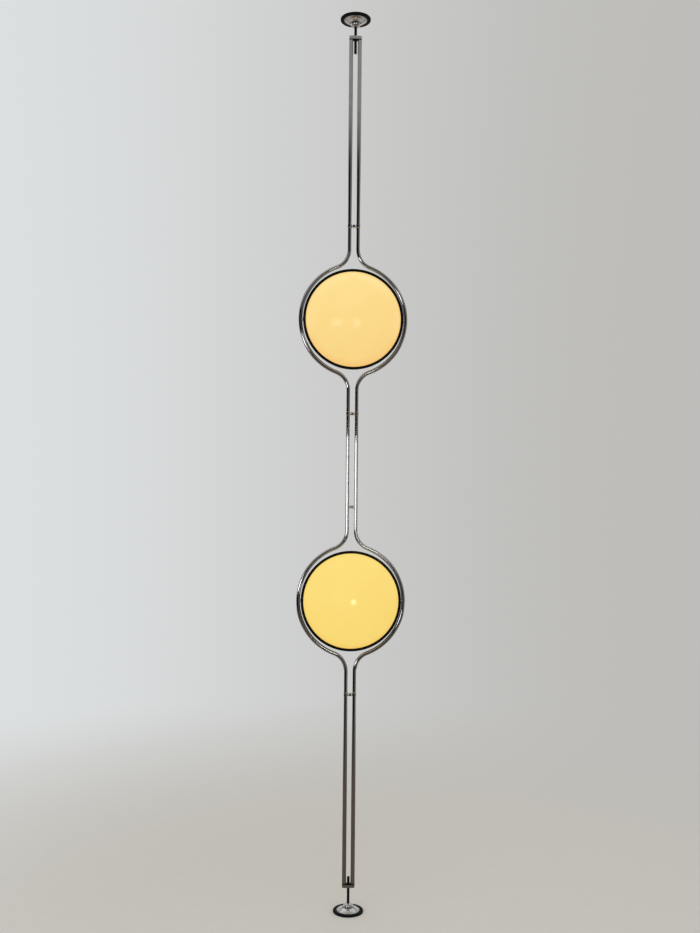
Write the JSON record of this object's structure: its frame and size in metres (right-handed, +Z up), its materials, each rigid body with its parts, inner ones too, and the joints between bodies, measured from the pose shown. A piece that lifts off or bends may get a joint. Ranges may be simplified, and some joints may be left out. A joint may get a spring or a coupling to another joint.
{
  "type": "floor-to-ceiling pole lamp",
  "caption": "Lamp held upright between floor and ceiling: parallel chromed tubes fork round flat round opal heads that tilt, with a screw jack and rubber pad at each end.",
  "frame": {"origin": "centre of the floor pad's face, where the lamp meets the floor", "axes": "+Z up the pole, +X from the left tube to the right one and along the head pivots, +Y to the back; the front faces -Y"},
  "size_m": [0.319, 0.192, 2.6],
  "materials": {
    "chrome": "bright chrome plate on steel tube and castings",
    "opal_glass": "opal glass, satin inside and glossy outside, lit warm",
    "bulb_glass": "white-coated bulb glass, lit, with a metal cap",
    "black_rubber": "moulded black rubber",
    "black_steel": "blackened steel, threaded",
    "plated_steel": "zinc-plated steel",
    "nylon": "natural nylon",
    "black_plastic": "black moulded plastic",
    "lead_sheath": "grey flexible sheath",
    "porcelain": "glazed white porcelain"
  },
  "bodies": {
    "frame": {"lower_end_cap": "chrome", "upper_end_cap": "chrome", "bottom_tube_left": "chrome", "bottom_tube_right": "chrome", "lower_loop_tube_left": "chrome", "lower_loop_tube_right": "chrome", "middle_tube_left": "chrome", "middle_tube_right": "chrome", "upper_loop_tube_left": "chrome", "upper_loop_tube_right": "chrome", "top_tube_left": "chrome", "top_tube_right": "chrome", "joint_sleeves": "plated_steel", "clamp_front_1": "chrome", "clamp_front_2": "chrome", "clamp_front_3": "chrome", "clamp_front_4": "chrome", "clamp_back_1": "chrome", "clamp_back_2": "chrome", "clamp_back_3": "chrome", "clamp_back_4": "chrome", "clamp_screws": "black_steel", "pivots": "plated_steel", "pivot_washers": "nylon", "pivot_spring_washers": "plated_steel", "pivot_nuts": "plated_steel", "cable_bush": "black_plastic", "power_lead": "lead_sheath"},
    "lower_foot": {"lower_pad": "black_rubber", "lower_dish": "chrome", "lower_hub": "chrome"},
    "lower_screw": {"lower_jack_screw": "black_steel", "lower_screw_clip": "plated_steel"},
    "upper_foot": {"upper_pad": "black_rubber", "upper_dish": "chrome", "upper_hub": "chrome"},
    "upper_screw": {"upper_jack_screw": "black_steel", "upper_screw_clip": "plated_steel"},
    "lower_head": {"lower_head_ring": "chrome", "lower_head_front_dome": "opal_glass", "lower_head_back_dome": "opal_glass", "lower_head_front_bezel": "chrome", "lower_head_back_bezel": "chrome", "lower_head_holder_bracket": "plated_steel", "lower_head_nuts": "plated_steel", "lower_head_lampholder": "porcelain", "lower_head_bulb": "bulb_glass", "lower_head_lead": "lead_sheath"},
    "upper_head": {"upper_head_ring": "chrome", "upper_head_front_dome": "opal_glass", "upper_head_back_dome": "opal_glass", "upper_head_front_bezel": "chrome", "upper_head_back_bezel": "chrome", "upper_head_holder_bracket": "plated_steel", "upper_head_nuts": "plated_steel", "upper_head_lampholder": "porcelain", "upper_head_bulb": "bulb_glass", "upper_head_lead": "lead_sheath"}
  },
  "joints": [
    {"name": "lower_head_tilt", "type": "hinge", "parent": "frame", "child": "lower_head", "pos_m": [0, 0, 0.905], "axis": [1, 0, 0], "range_deg": [-170, 170]},
    {"name": "upper_head_tilt", "type": "hinge", "parent": "frame", "child": "upper_head", "pos_m": [0, 0, 1.723], "axis": [1, 0, 0], "range_deg": [-170, 170]},
    {"name": "lower_jack_slide", "type": "slide", "parent": "frame", "child": "lower_foot", "axis": [0, 0, 1], "range_m": [-0.019, 0.042]},
    {"name": "lower_screw_turn", "type": "hinge", "parent": "lower_foot", "child": "lower_screw", "pos_m": [0, 0, 0.05], "axis": [0, 0, 1], "range_deg": [-5500, 12200]},
    {"name": "upper_jack_slide", "type": "slide", "parent": "frame", "child": "upper_foot", "axis": [0, 0, 1], "range_m": [-0.023, 0.038]},
    {"name": "upper_screw_turn", "type": "hinge", "parent": "upper_foot", "child": "upper_screw", "pos_m": [0, 0, 2.55], "axis": [0, 0, 1], "range_deg": [-6700, 11000]}
  ],
  "couplings": [
    {"joint": "lower_screw_turn", "follows": "lower_jack_slide", "rad_per_m": 5026.5},
    {"joint": "upper_screw_turn", "follows": "upper_jack_slide", "rad_per_m": 5026.5}
  ]
}
